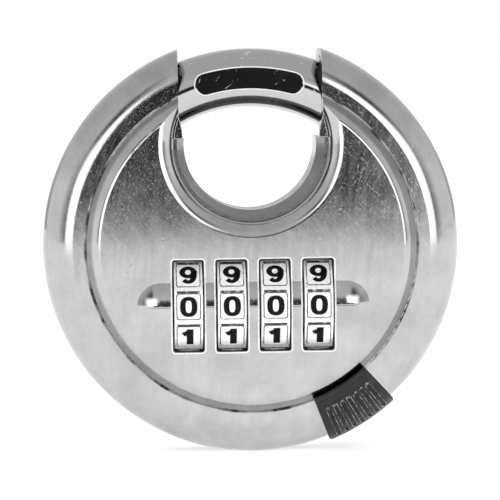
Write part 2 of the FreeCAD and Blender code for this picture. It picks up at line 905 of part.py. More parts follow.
def make_cam():
    """The code change cam: flush slotted head, collar, shaft and eccentric pin."""
    def turned(name, radius, start, end, shift="0"):
        x = f"cam_centre - ({shift})"
        return rod(name, "y", radius, start, end, x, f"dial_height + ({shift})")

    pin_top = "-(dial_depth - spindle_radius - cam_pin_relief)"
    head = turned("cam_head", "cam_head_radius", "core_half_height", "plateau_height - hair_gap")
    collar = turned("cam_collar", "cam_collar_radius", "core_half_height - cam_collar_height",
                    "core_half_height + small_gap")
    shaft = turned("cam_shaft", "cam_radius", pin_top, "core_half_height")
    pin = turned("cam_pin", "cam_pin_radius", "-(dial_depth + cam_pin_reach)", pin_top, "cam_throw")
    driver_slot = box(
        "driver_slot",
        ("cam_centre - driver_half_length", "cam_centre + driver_half_length"),
        ("plateau_height - driver_depth", "plateau_height + cut_margin"),
        ("dial_height - driver_half_width", "dial_height + driver_half_width"),
    )
    cam = minus("cam", joined("cam_blank", [head, collar, shaft, pin]), [driver_slot])
    subpart(cam, "code_change_cam")


# ---------- locking bolt ----------


def fin_centre(index):
    return f"({dial_place(index)} + fin_offset)"


def bolt_pieces(name, grow, travel):
    """The bolt's blocks, or the space they sweep, grown by the clearance."""
    first = f"{fin_centre(1)} - fin_width / 2 - {grow}"
    last = f"{fin_centre(DIALS)} + fin_width / 2 + min({grow}; fin_side_gap)"
    drop = f"({grow} + {travel})"
    far = f"bar_far + {grow}"
    pieces = [
        box(f"{name}_bar", (first, last), (f"bar_near - {grow}", far),
            (f"fin_foot - {drop}", f"bar_top + {grow}")),
    ]
    for i in range(1, DIALS + 1):
        side = f"fin_width / 2 + min({grow}; fin_side_gap)"
        pieces.append(
            box(
                f"{name}_fin_{i}",
                (f"{fin_centre(i)} - ({side})", f"{fin_centre(i)} + {side}"),
                (f"fin_near - {grow}", "bar_near"),
                (f"fin_foot - {drop}", f"fin_top + {grow}"),
            )
        )
    across = (f"-toe_half_width - {grow}", f"toe_half_width + {grow}")
    pieces.append(box(f"{name}_leg", across, (f"bar_near - {grow}", far),
                      (f"toe_sole - {drop}", "fin_foot")))
    pieces.append(box(f"{name}_foot", across, (f"-toe_half_depth - {grow}", "bar_near"),
                      (f"toe_sole - {drop}", f"toe_top + {grow}")))
    pieces.append(box(f"{name}_toe", across,
                      (f"-toe_half_depth - {grow}", f"toe_half_depth + {grow}"),
                      (f"toe_tip - {drop}", "toe_sole")))
    return pieces


def make_bolt():
    subpart(joined("bolt", bolt_pieces("bolt", "0", "0")), "fence_bolt")


# ---------- castings ----------

SCREW_PLACES = [(-18, 2), (18, 2), (-4.5, -20.2), (4.5, -20.2)]
BOLT_SPRINGS = [-4.5, 9.0]


def case_screws(name, radius, start, end):
    return [
        rod(f"{name}_{i}", "y", radius, start, end, str(x), str(z))
        for i, (x, z) in enumerate(SCREW_PLACES)
    ]


def core_hollows(name):
    """Everything that moves inside the core, as one set of cutting solids."""
    hollows = [rod(f"{name}_eye", "y", "core_eye_radius", *ACROSS, "0", "eye_centre")]
    for i in range(1, DIALS + 1):
        half = "pocket_width / 2"
        place = dial_place(i)
        hollows.append(on_spindle(f"{name}_pocket_{i}", "pocket_radius",
                                  f"{place} - {half}", f"{place} + {half}"))
    seat = "spindle_radius + running_fit"
    hollows.append(on_spindle(f"{name}_bore", "flange_bore", "bore_left", "bore_right"))
    hollows.append(on_spindle(f"{name}_seat", seat, "spindle_left", "reach"))
    hollows.append(on_spindle(f"{name}_spring_seat", "clip_radius + clip_gap",
                              "bore_left - spring_seat_far", "bore_left - spring_seat_near"))
    hollows += bolt_pieces(f"{name}_bolt", "bolt_clearance", "bolt_travel")
    for i, x in enumerate(BOLT_SPRINGS):
        side = "spring_half_width + spring_strip + easy_gap"
        middle = "(bar_near + bar_far) / 2"
        hollows.append(box(f"{name}_spring_{i}", (f"{x} - ({side})", f"{x} + {side}"),
                           (f"{middle} - spring_half_depth - easy_gap",
                            f"{middle} + spring_half_depth + easy_gap"),
                           ("bar_top", "bolt_spring_top")))
    half = "leaf_half_length + easy_gap"
    hollows.append(box(f"{name}_leaf", (f"-({half})", half),
                       ("leaf_near - leaf_room", "leaf_near + leaf_thickness"),
                       ("leaf_foot - 2 * easy_gap", "leaf_top + small_gap")))
    hollows.append(rod(f"{name}_cam", "y", "cam_radius + small_gap",
                       "-(dial_depth + cam_pin_room)", "reach", "cam_centre", "dial_height"))
    hollows.append(rod(f"{name}_cam_collar", "y", "cam_collar_radius + small_gap",
                       "core_half_height - cam_collar_height - small_gap", "reach",
                       "cam_centre", "dial_height"))
    hollows += case_screws(f"{name}_screw", "core_screw_radius",
                           "-core_screw_half_length", "reach")
    hollows += case_screws(f"{name}_head", "core_head_radius",
                           "core_screw_half_length", "reach")
    return hollows


def core_half(name, start, end):
    blank = rod(f"{name}_blank", "y", "core_radius", start, end)
    return minus(name, blank, core_hollows(f"{name}_hollow"))


def make_cores():
    front = core_half("front_casting", "-core_half_height", "-dial_depth")
    rear = core_half("rear_casting", "-dial_depth", "core_half_height")
    subpart(front, "core_front")
    subpart(rear, "core_rear")
    end = "core_screw_half_length"
    shanks = case_screws("core_shank", "core_screw_radius", f"-{end}", end)
    heads = case_screws("core_screw_head", "core_head_radius", end, f"{end} + core_head_height")
    screws = [joined(f"core_screw_{i}", pair) for i, pair in enumerate(zip(shanks, heads))]
    subpart(joined("core_screw_set", screws), "core_screws")


# ---------- springs ----------


def zigzag_spring(name, x):
    """A flat strip folded in a zigzag between the bolt and the casting above it."""
    step = f"((bolt_spring_top - bar_top) / {SPRING_LEGS})"
    folds = []
    for i in range(SPRING_LEGS + 1):
        side = "-" if i % 2 else ""
        folds.append((f"{side}spring_half_width", f"bar_top + {step} * {i}"))
    left = [(f"{across} - spring_strip", height) for across, height in folds]
    right = [(f"{across} + spring_strip", height) for across, height in reversed(folds)]
    strip = padded(name, "XZ_Plane", left + right, None, "-spring_half_depth",
                   "2 * spring_half_depth")
    bind(strip, Placement__Base__x=str(x), Placement__Base__y="(bar_near + bar_far) / 2")
    return strip


def make_springs():
    strips = [zigzag_spring(f"zigzag_{i}", x) for i, x in enumerate(BOLT_SPRINGS)]
    subpart(joined("zigzags", strips), "fence_springs")

    start = "(spindle_left + clip_inset + clip_width + hair_gap)"
    end = "(bore_left - spring_seat_near - hair_gap)"
    narrow = "(spindle_radius + small_gap)"
    wide = "(clip_radius - clip_gap)"
    corners = [
        (start, narrow),
        (end, wide),
        (end, f"{wide} + cone_thickness"),
        (start, f"{narrow} + cone_thickness"),
    ]
    cone = revolved("change_cone", corners, axis="H_Axis")
    subpart(cone, "change_spring", "0", "-dial_depth", "dial_height")


def make_detent_spring():
    """A leaf with one finger for each dial, under the rear of the core."""
    near = "leaf_near"
    far = "leaf_near + leaf_thickness"
    plate = box("leaf_plate", ("-leaf_half_length", "leaf_half_length"), (near, far),
                ("leaf_neck", "leaf_top"))
    fingers = []
    for i in range(1, DIALS + 1):
        place = dial_place(i)
        sides = (f"{place} - finger_width / 2", f"{place} + finger_width / 2")
        finger = box(f"leaf_finger_{i}", sides, (near, far), ("leaf_foot", "leaf_neck"))
        fingers.append(finger)
    subpart(joined("leaf", [plate] + fingers), "detent_spring")


# ---------- build, check and write ----------

make_shells()
make_eye_liner()
make_guide_rings()
make_stops()
make_shackle()
make_lever()
for dial_number in range(1, DIALS + 1):
    make_dial(dial_number)
    make_hub(dial_number)
make_spindle()
make_cam()
make_bolt()
make_cores()
make_springs()
make_detent_spring()
doc.recompute()


def check():
    for thing in doc.Objects:
        if "Invalid" in thing.State or "Error" in thing.State:
            raise RuntimeError(f"{thing.Name} failed: {thing.State}")
    for thing in SUBPARTS:
        if thing.Shape.isNull() or not thing.Shape.isValid():
            raise RuntimeError(f"{thing.Label} has no valid shape")
        print(thing.Label, len(thing.Shape.Solids), round(thing.Shape.Volume, 2))


check()
os.makedirs("parts", exist_ok=True)
for thing in SUBPARTS:
    thing.Shape.exportStep(f"parts/{thing.Label}.step")
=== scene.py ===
import json
import math

import bmesh
import bpy
from mathutils import Matrix, Vector


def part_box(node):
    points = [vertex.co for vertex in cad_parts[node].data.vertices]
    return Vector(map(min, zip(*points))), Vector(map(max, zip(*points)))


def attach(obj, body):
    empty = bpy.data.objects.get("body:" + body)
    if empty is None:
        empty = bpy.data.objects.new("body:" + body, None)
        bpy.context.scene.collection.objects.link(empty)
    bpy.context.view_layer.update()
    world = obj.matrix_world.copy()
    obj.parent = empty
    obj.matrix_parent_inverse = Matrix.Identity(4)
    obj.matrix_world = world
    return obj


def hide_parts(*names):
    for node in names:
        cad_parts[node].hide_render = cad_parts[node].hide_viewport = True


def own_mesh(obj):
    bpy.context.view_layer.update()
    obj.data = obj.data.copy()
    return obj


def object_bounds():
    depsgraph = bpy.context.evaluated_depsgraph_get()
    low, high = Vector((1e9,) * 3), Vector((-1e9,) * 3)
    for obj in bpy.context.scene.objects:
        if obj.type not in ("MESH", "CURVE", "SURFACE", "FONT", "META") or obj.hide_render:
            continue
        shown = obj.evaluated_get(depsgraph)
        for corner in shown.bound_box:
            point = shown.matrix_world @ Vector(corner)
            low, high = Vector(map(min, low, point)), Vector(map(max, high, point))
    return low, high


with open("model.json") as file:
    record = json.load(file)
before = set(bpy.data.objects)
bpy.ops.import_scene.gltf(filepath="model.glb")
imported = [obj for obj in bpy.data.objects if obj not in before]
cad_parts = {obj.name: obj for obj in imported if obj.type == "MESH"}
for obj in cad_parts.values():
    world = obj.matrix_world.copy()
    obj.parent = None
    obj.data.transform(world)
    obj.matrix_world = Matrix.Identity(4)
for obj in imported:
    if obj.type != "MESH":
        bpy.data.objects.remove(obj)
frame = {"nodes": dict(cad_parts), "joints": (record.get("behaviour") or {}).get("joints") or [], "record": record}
CAD_LOW, CAD_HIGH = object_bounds()
NODES = frame["nodes"]

# ---------- places, in metres: the lock stands upright, its front toward -Y ----------

MM = 0.001
JOINTS = {joint["name"]: joint for joint in frame["joints"]}
DISC = Vector(JOINTS["shackle_turn"]["pos_m"])
DIALS = 4
DIAL_AXES = [Vector(JOINTS[f"dial_{i}_turn"]["pos_m"]) for i in range(1, DIALS + 1)]
SHELL_LOW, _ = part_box("front_shell")
DIAL_LOW, DIAL_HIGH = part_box("dial_1")
BOSS_TOP = SHELL_LOW.y
PLATEAU = -11.0 * MM
DIAL_WIDTH = DIAL_HIGH.x - DIAL_LOW.x
APOTHEM = DIAL_AXES[0].y - DIAL_LOW.y


def on_disc(radius, depth, turn):
    """The point at a radius and a turn about the disc's centre, at a depth along Y."""
    return DISC + Vector((radius * math.cos(turn), depth, radius * math.sin(turn)))


# ---------- node helpers ----------

SCRATCH_LENGTH = 22.0
SCRATCH_GAPS = 1.7
SCRATCH_FADE = 0.08


class Tree:
    """A small helper that adds nodes to a node tree and links them."""

    def __init__(self, tree, fade="LINEAR"):
        self.tree = tree
        self.tree.nodes.clear()
        self.fade = fade

    def add(self, kind, **settings):
        node = self.tree.nodes.new(kind)
        for name, value in settings.items():
            setattr(node, name, value)
        return node

    def link(self, source, target):
        self.tree.links.new(source, target)

    def put(self, value, socket):
        """Sets a plain value on the socket, or links an output to it."""
        if isinstance(value, (int, float, tuple)):
            socket.default_value = value
        else:
            self.link(value, socket)

    def ramp(self, source, low, high, start=0.0, end=1.0):
        """Source between low and high, turned into start to end."""
        node = self.add("ShaderNodeMapRange", interpolation_type=self.fade)
        node.inputs["From Min"].default_value = low
        node.inputs["From Max"].default_value = high
        node.inputs["To Min"].default_value = start
        node.inputs["To Max"].default_value = end
        self.link(source, node.inputs["Value"])
        return node.outputs["Result"]

    def maths(self, operation, first, second=0.0):
        node = self.add("ShaderNodeMath", operation=operation)
        for socket, value in zip(node.inputs, (first, second)):
            self.put(value, socket)
        return node.outputs["Value"]

    def times(self, first, *others):
        """The product of all the values."""
        for value in others:
            first = self.maths("MULTIPLY", first, value)
        return first

    def rest(self, share):
        """What a share leaves of one."""
        return self.maths("SUBTRACT", 1.0, share)

    def mixed(self, factor, first, second):
        node = self.add("ShaderNodeMix", data_type="RGBA")
        self.link(factor, node.inputs["Factor"])
        self.put(first, node.inputs["A"])
        self.put(second, node.inputs["B"])
        return node.outputs["Result"]


class Surface(Tree):
    """A new material, its shader, and the patterns that detail it."""

    def __init__(self, name):
        self.material = bpy.data.materials.new(name)
        self.material.use_nodes = True
        super().__init__(self.material.node_tree)
        self.shader = self.add("ShaderNodeBsdfPrincipled")
        output = self.add("ShaderNodeOutputMaterial")
        self.link(self.shader.outputs["BSDF"], output.inputs["Surface"])
        self.place = self.add("ShaderNodeTexCoord").outputs["Object"]

    def shade(self, **sockets):
        """Fills the shader's sockets, each named with underscores for its spaces."""
        for name, value in sockets.items():
            self.put(value, self.shader.inputs[name.replace("_", " ")])

    def stretched(self, scale, turn):
        """Object coordinates, turned, then scaled in each direction."""
        mapping = self.add("ShaderNodeMapping", vector_type="TEXTURE")
        mapping.inputs["Rotation"].default_value = turn
        mapping.inputs["Scale"].default_value = scale
        self.link(self.place, mapping.inputs["Vector"])
        return mapping.outputs["Vector"]

    def noise(self, scale, detail=4.0, rough=0.6, where=None):
        node = self.add("ShaderNodeTexNoise")
        node.inputs["Scale"].default_value = scale
        node.inputs["Detail"].default_value = detail
        node.inputs["Roughness"].default_value = rough
        self.link(where or self.place, node.inputs["Vector"])
        return node.outputs["Fac"]

    def bump(self, height, strength, distance):
        node = self.add("ShaderNodeBump")
        node.inputs["Strength"].default_value = strength
        node.inputs["Distance"].default_value = distance
        self.link(height, node.inputs["Height"])
        return node.outputs["Normal"]

    def scratches(self, scale, turn, width, cover):
        """Thin straight scratches: the edges of long cells, broken up by noise."""
        long_cells = self.stretched((1.0, 1.0, SCRATCH_LENGTH), turn)
        cells = self.add("ShaderNodeTexVoronoi", feature="DISTANCE_TO_EDGE")
        cells.inputs["Scale"].default_value = scale
        self.link(long_cells, cells.inputs["Vector"])
        line = self.ramp(cells.outputs["Distance"], 0.0, width, 1.0, 0.0)
        gaps = self.noise(scale * SCRATCH_GAPS, detail=2.0)
        return self.times(line, self.ramp(gaps, cover, cover + SCRATCH_FADE))


def grey(level, warm=0.0):
    """A grey, warm in tint, or cool where warm is below zero."""
    return (level * (1 + warm), level, level * (1 - warm), 1.0)


# ---------- materials ----------


def steel_material():
    """Brushed stainless steel: fine upright grain, cloudy patches, light scratches."""
    s = Surface("brushed_stainless")
    grain = s.noise(900.0, 3.0, 0.7, s.stretched((1.0, 1.0, 14.0), (0, 0.12, 0)))
    cloud = s.noise(160.0, 5.0, 0.65)
    coarse = s.noise(420.0, 4.0, 0.6, s.stretched((1.0, 1.0, 3.0), (0, -0.5, 0)))
    marks = s.scratches(2100.0, (0, 0.5, 0), width=0.025, cover=0.54)
    cross = s.scratches(1700.0, (0, -0.7, 0), width=0.025, cover=0.57)
    both = s.maths("MAXIMUM", marks, cross)
    tone = s.mixed(s.ramp(cloud, 0.35, 0.7), grey(0.42), grey(0.54))
    tone = s.mixed(s.ramp(grain, 0.4, 0.75, 0.0, 0.3), tone, grey(0.4))
    tone = s.mixed(s.times(both, 0.22), tone, grey(0.85))
    polish = s.ramp(cloud, 0.3, 0.75, 0.05, 0.09)
    rough = s.maths("ADD", polish, s.ramp(grain, 0.3, 0.8, 0.0, 0.05))
    height = s.maths("ADD", s.times(grain, 0.5), s.times(coarse, 0.8))
    height = s.maths("SUBTRACT", height, s.times(both, 0.35))
    s.shade(Base_Color=tone, Metallic=1.0, Roughness=rough)
    s.shade(Normal=s.bump(height, 0.14, 0.05 * MM))
    return s.material


def chrome_material():
    """Polished chrome on the bar, with a few fine rubs."""
    s = Surface("polished_chrome")
    marks = s.scratches(600.0, (0.3, 0.8, 0), width=0.02, cover=0.56)
    haze = s.noise(240.0)
    polish = s.ramp(haze, 0.35, 0.7, 0.03, 0.07)
    rough = s.maths("ADD", polish, s.times(marks, 0.25))
    height = s.maths("SUBTRACT", s.times(haze, 0.3), marks)
    s.shade(Base_Color=s.mixed(marks, grey(0.5), grey(0.8)), Metallic=1.0)
    s.shade(Roughness=rough, Normal=s.bump(height, 0.06, 0.03 * MM))
    return s.material


def nickel_material():
    """Satin nickel on the cast dials: bright, warm, slightly grained."""
    s = Surface("satin_nickel")
    cast = s.noise(1500.0, 5.0)
    stain = s.ramp(s.noise(500.0), 0.4, 0.75)
    tone = s.mixed(stain, grey(0.97, 0.006), grey(0.84, 0.03))
    s.shade(Base_Color=tone, Metallic=0.22)
    s.shade(Roughness=s.ramp(cast, 0.3, 0.7, 0.22, 0.4))
    s.shade(Normal=s.bump(cast, 0.25, 0.04 * MM))
    return s.material


def ink_material():
    """Black enamel in the digits, with a few chips of wear."""
    s = Surface("digit_enamel")
    chips = s.ramp(s.noise(2600.0), 0.62, 0.7)
    s.shade(Base_Color=s.mixed(chips, grey(0.003), grey(0.09)))
    s.shade(Specular_IOR_Level=0.12)
    s.shade(Roughness=s.ramp(s.noise(900.0), 0.3, 0.7, 0.3, 0.5))
    s.shade(Normal=s.bump(s.noise(2200.0), 0.3, 0.03 * MM))
    return s.material


def painted_shade_material(name, scale, low, high, bare):
    """A dark line of painted shade that comes and goes over bare metal."""
    s = Surface(name)
    unshaded = s.ramp(s.noise(scale), low, high)
    s.shade(Base_Color=s.mixed(unshaded, grey(0.02, 0.1), grey(bare, 0.05)))
    s.shade(Metallic=unshaded)
    s.shade(Roughness=s.ramp(s.noise(900.0), 0.3, 0.7, 0.35, 0.6))
    s.shade(Normal=s.bump(s.noise(1600.0), 0.3, 0.04 * MM))
    return s.material


def nylon_material():
    """Moulded black nylon with a fine spark texture and rubbed grey patches."""
    s = Surface("black_nylon")
    spark = s.noise(3200.0, rough=0.7)
    patches = s.ramp(s.noise(420.0), 0.5, 0.75)
    s.shade(Base_Color=s.mixed(patches, grey(0.012, -0.06), grey(0.026, -0.06)))
    s.shade(Specular_IOR_Level=0.36)
    s.shade(Roughness=s.ramp(spark, 0.3, 0.75, 0.3, 0.46))
    s.shade(Normal=s.bump(spark, 0.35, 0.05 * MM))
    return s.material


def glint_nylon_material():
    """The nylon painted pale on the grooves' edges and ends: painted highlights and glints."""
    s = Surface("painted_glint_nylon")
    spots = s.ramp(s.noise(1900.0), 0.44, 0.6)
    s.shade(Base_Color=s.mixed(spots, grey(0.03, -0.03), grey(0.36, -0.03)))
    s.shade(Roughness=s.ramp(s.noise(2600.0), 0.3, 0.7, 0.2, 0.36))
    s.shade(Normal=s.bump(s.noise(2400.0), 0.4, 0.04 * MM))
    return s.material


def metal_material(name, level, warm, smooth, rough, dim):
    """A plainer metal for the pieces inside: mottled colour, uneven polish, grain."""
    s = Surface(name)
    mottle = s.noise(600.0, 5.0)
    s.shade(Base_Color=s.mixed(mottle, grey(level, warm), grey(level * dim, warm)))
    s.shade(Metallic=1.0, Roughness=s.ramp(mottle, 0.3, 0.7, smooth, rough))
    s.shade(Normal=s.bump(s.noise(1800.0), 0.3, 0.05 * MM))
    return s.material


STEEL = steel_material()
CHROME = chrome_material()
NICKEL = nickel_material()
INK = ink_material()
# Painted shade in the dials' creases and folds, on the windows' walls and along the index line's upper wall.
PAINTED_SHADE = painted_shade_material("frame_painted_shade", scale=1500.0, low=0.52, high=0.7, bare=0.6)
# Painted shade for the valley between rim and plateau.
VALLEY = painted_shade_material("valley_painted_shade", scale=260.0, low=0.4, high=0.56, bare=0.5)
NYLON = nylon_material()
# Painted highlights: the pale nylon on the grooves' brims and inner ends.
NYLON_GLINT = glint_nylon_material()
LINER = metal_material("liner_steel", 0.24, 0.0, smooth=0.12, rough=0.26, dim=0.6)
CASTING = metal_material("zinc_casting", 0.1, 0.0, smooth=0.4, rough=0.6, dim=0.6)
BRASS = metal_material("turned_brass", 0.55, 0.3, smooth=0.2, rough=0.4, dim=0.8)
SPRING = metal_material("spring_steel", 0.45, 0.0, smooth=0.25, rough=0.45, dim=0.8)

BY_SLOT = {
    "steel": STEEL,
    "chrome": CHROME,
    "black": NYLON,
    "nickel": NICKEL,
    "zinc": CASTING,
    "brass": BRASS,
    "spring": SPRING,
    "nylon": NYLON,
}


def paint(obj, material):
    obj.data.materials.clear()
    obj.data.materials.append(material)


for part in frame["record"]["subparts"]:
    paint(NODES[part["node"]], BY_SLOT[part["material_slot"]])
paint(NODES["eye_liner"], LINER)


# ---------- mesh helpers ----------


def new_object(name, mesh_data, materials, closed=True):
    """An object of a bmesh, shaded smooth, its faces turned outward if it is closed."""
    if closed:
        bmesh.ops.recalc_face_normals(mesh_data, faces=mesh_data.faces)
    mesh = bpy.data.meshes.new(name)
    mesh_data.normal_update()
    mesh_data.to_mesh(mesh)
    mesh_data.free()
    obj = bpy.data.objects.new(name, mesh)
    bpy.context.scene.collection.objects.link(obj)
    for material in materials:
        mesh.materials.append(material)
    for polygon in mesh.polygons:
        polygon.use_smooth = True
    return obj


def bevelled(obj, width, segments, angle=30):
    modifier = obj.modifiers.new("soft_edges", "BEVEL")
    modifier.width = width
    modifier.segments = segments
    modifier.limit_method = "ANGLE"
    modifier.angle_limit = math.radians(angle)
    modifier.harden_normals = True


def prism(mesh, outline, low, high, material=0, at=lambda p: p):
    """A closed solid over an outline of (x, z) points, from depth low to high."""
    lower = [mesh.verts.new(at(Vector((x, low, z)))) for x, z in outline]
    upper = [mesh.verts.new(at(Vector((x, high, z)))) for x, z in outline]
    faces = [mesh.faces.new(lower), mesh.faces.new(upper[::-1])]
    for i in range(len(outline)):
        j = (i + 1) % len(outline)
        faces.append(mesh.faces.new((lower[j], lower[i], upper[i], upper[j])))
    for face in faces:
        face.material_index = material


def join_rings(mesh, rings, closed, material=0):
    """Faces between each ring of points and the next, and back to the first if closed."""
    sides = len(rings[0])
    for i in range(len(rings) if closed else len(rings) - 1):
        here, there = rings[i], rings[(i + 1) % len(rings)]
        for k in range(sides):
            j = (k + 1) % sides
            face = mesh.faces.new((here[k], here[j], there[j], there[k]))
            face.material_index = material


def rounded_rectangle(width, height, radius, steps):
    """Points round a rectangle with round corners, anticlockwise, centred."""
    points = []
    for corner in range(4):
        turn = math.pi / 2 * corner
        cx = (width / 2 - radius) * (1 if corner in (0, 3) else -1)
        cz = (height / 2 - radius) * (1 if corner in (0, 1) else -1)
        for i in range(steps + 1):
            a = turn + math.pi / 2 * i / steps
            points.append((cx + radius * math.cos(a), cz + radius * math.sin(a)))
    return points


# ---------- digits ----------

# Each digit is a few strokes in a unit square: x to the right, y up.


def arc(cx, cy, rx, ry, begin, end, steps=18):
    """Points on an ellipse from one angle to another, in degrees."""
    angles = [math.radians(begin + (end - begin) * i / steps) for i in range(steps + 1)]
    return [(cx + rx * math.cos(a), cy + ry * math.sin(a)) for a in angles]


def squarish(power, begin, end, steps=36):
    """Points on a superellipse that fills the unit square, in degrees."""
    points = []
    for x, y in arc(0.0, 0.0, 1.0, 1.0, begin, end, steps):
        wide = math.copysign(abs(x) ** (2 / power), x)
        tall = math.copysign(abs(y) ** (2 / power), y)
        points.append((0.5 + 0.5 * wide, 0.5 + 0.5 * tall))
    return points


DIGITS = {
    0: [squarish(2.6, 90, 450)],
    1: [[(0.6, 1.0), (0.6, 0.5), (0.6, 0.0)], [(0.5, 0.88), (0.14, 0.74)]],
    2: [arc(0.5, 0.68, 0.46, 0.32, 165, -25) + [(0.5, 0.24), (0.06, 0.0), (0.98, 0.0)]],
    3: [
        arc(0.47, 0.75, 0.42, 0.25, 160, -90),
        arc(0.47, 0.25, 0.48, 0.25, 90, -160),
    ],
    4: [[(0.98, 0.27), (0.04, 0.27), (0.62, 1.0), (0.7, 1.0), (0.7, 0.5), (0.7, 0.0)]],
    5: [
        [(0.92, 1.0), (0.16, 1.0), (0.1, 0.56)] + arc(0.48, 0.31, 0.48, 0.31, 125, -155),
    ],
    6: [arc(0.5, 0.5, 0.5, 0.5, 55, 180, 14) + arc(0.5, 0.3, 0.5, 0.3, 180, 540)],
    7: [[(0.02, 1.0), (0.96, 1.0), (0.62, 0.5), (0.42, 0.0)]],
    8: [arc(0.5, 0.76, 0.4, 0.24, -90, 270), arc(0.5, 0.26, 0.5, 0.26, 90, 450)],
    9: [arc(0.5, 0.5, 0.5, 0.5, 235, 360, 14) + arc(0.5, 0.7, 0.5, 0.3, 0, 360)],
}
DIGIT_WIDTH = 1.94 * MM
DIGIT_HEIGHT = 2.68 * MM
STROKE = 0.66 * MM
BOLD_DIGITS = {1: 1.2, 4: 1.05, 7: 1.1}
STROKE_STRETCH = 1.42  # upright strokes are this much wider than level ones
STROKE_OVERRUN = 0.8  # how far a free end goes on, in half widths
SHARPEST_BEND = 0.5  # keeps the corners of a bend from running away
SAME_POINT = 1e-6


def stroke(mesh, points, half_width, high, material, at):
    """A closed flat ribbon along the points, from depth zero to high."""
    left, right = [], []
    closed = (Vector(points[0]) - Vector(points[-1])).length < SAME_POINT
    path = [Vector((x * DIGIT_WIDTH, y * DIGIT_HEIGHT)) for x, y in points]
    if closed:
        path = path[:-1]
    count = len(path)
    for i, p in enumerate(path):
        before = path[i - 1] if i or closed else p
        after = path[(i + 1) % count] if i < count - 1 or closed else p
        way = (after - before).normalized()
        turn_in = (p - before).normalized() if (p - before).length > 0 else way
        bend = max(way.dot(turn_in), SHARPEST_BEND)
        side = Vector((-way.y * STROKE_STRETCH, way.x)) * (half_width / bend)
        left.append(p + side)
        right.append(p - side)
    if not closed:
        first = (path[0] - path[1]).normalized() * half_width * STROKE_OVERRUN
        last = (path[-1] - path[-2]).normalized() * half_width * STROKE_OVERRUN
        left[0], right[0] = left[0] + first, right[0] + first
        left[-1], right[-1] = left[-1] + last, right[-1] + last
    rings = []
    for a, b in zip(left, right):
        corners = ((a, 0.0), (b, 0.0), (b, high), (a, high))
        placed = [at(Vector((p.x, depth, p.y))) for p, depth in corners]
        rings.append([mesh.verts.new(p) for p in placed])
    join_rings(mesh, rings, closed, material)
    if not closed:
        for ring in (rings[0][::-1], rings[-1]):
            mesh.faces.new(ring).material_index = material


# ---------- dials ----------

FACETS = 10
BORE_SHARE = 0.84
PANEL_WIDTH = 3.75 * MM
PANEL_HEIGHT = 4.1 * MM
PANEL_RISE = 0.16 * MM
PANEL_LIFT = 0.1 * MM
FRAME = 0.16 * MM
FRAME_WIDTH = PANEL_WIDTH + 2 * FRAME
FRAME_HEIGHT = PANEL_HEIGHT + 2 * FRAME
FOLD_SHADE_WIDTH = 3.9 * MM
FOLD_SHADE_HEIGHT = 0.36 * MM
FOLD_SHADE_LIFT = 2.5 * MM
PLATE_ROOT = 0.1 * MM

# What lies on a facet: width, height, corner radius and steps, lift, rise, material.
# A bare metal panel, painted shade round it, and painted shade on the fold between panels.
PLATES = (
    (PANEL_WIDTH, PANEL_HEIGHT, 0.35 * MM, 4, PANEL_LIFT, PANEL_RISE, 0),
    (FRAME_WIDTH, FRAME_HEIGHT, 0.45 * MM, 4, PANEL_LIFT, 0.02 * MM, 1),
    (FOLD_SHADE_WIDTH, FOLD_SHADE_HEIGHT, 0.08 * MM, 3, FOLD_SHADE_LIFT, 0.025 * MM, 1),
)
OUTLINE = 0.14 * MM  # the bright edge round each digit
OUTLINE_RISE = 0.05 * MM
INK_RISE = 0.065 * MM
DIAL_EDGE = 0.12 * MM


def facet_place(axis, digit):
    """Puts a point of the front facet on the facet of the given digit."""
    turn = Matrix.Rotation(2 * math.pi * digit / FACETS, 3, "X")

    def at(p):
        return axis + turn @ Vector((p.x, p.y - APOTHEM, p.z))

    return at


def dial_body(axis):
    """The ten-sided ring and what lies on its facets."""
    mesh = bmesh.new()
    corner = APOTHEM / math.cos(math.pi / FACETS)
    bore = APOTHEM * BORE_SHARE
    sides = ((-1, corner), (1, corner), (1, bore), (-1, bore))
    rings = []
    for i in range(FACETS):
        a = 2 * math.pi * (i + 0.5) / FACETS
        ring = []
        for side, radius in sides:
            x = side * DIAL_WIDTH / 2
            p = Vector((x, radius * math.cos(a), radius * math.sin(a)))
            ring.append(mesh.verts.new(axis + p))
        rings.append(ring)
    join_rings(mesh, rings, closed=True)
    for digit in range(FACETS):
        for width, height, radius, steps, lift, rise, material in PLATES:
            outline = rounded_rectangle(width, height, radius, steps)
            outline = [(x, z + lift) for x, z in outline[::-1]]
            prism(mesh, outline, PLATE_ROOT, -rise, material, facet_place(axis, digit))
    return mesh


def dial_digits(axis):
    """The ten digits: a bright edge round each, and black enamel inside it."""
    mesh = bmesh.new()
    for digit, strokes in DIGITS.items():
        place = facet_place(axis, digit)

        def at(p, place=place):
            x, z = p.x - DIGIT_WIDTH / 2, p.z - DIGIT_HEIGHT / 2 + PANEL_LIFT
            return place(Vector((x, p.y, z)))

        half = STROKE / 2 * BOLD_DIGITS.get(digit, 1.0)
        for points in strokes:
            stroke(mesh, points, half + OUTLINE, -(PANEL_RISE + OUTLINE_RISE), 0, at)
            stroke(mesh, points, half, -(PANEL_RISE + INK_RISE), 1, at)
    return mesh


def make_dials():
    for i, axis in enumerate(DIAL_AXES, start=1):
        ring = new_object(f"dial_ring_{i}", dial_body(axis), [NICKEL, PAINTED_SHADE])
        bevelled(ring, DIAL_EDGE, 2)
        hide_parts(f"dial_{i}")
        digits = new_object(f"dial_digits_{i}", dial_digits(axis), [NICKEL, INK])
        for polygon in digits.data.polygons:
            polygon.use_smooth = False
        for piece in (ring, digits):
            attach(piece, f"dial_ring_{i}")


# ---------- windows and index line ----------

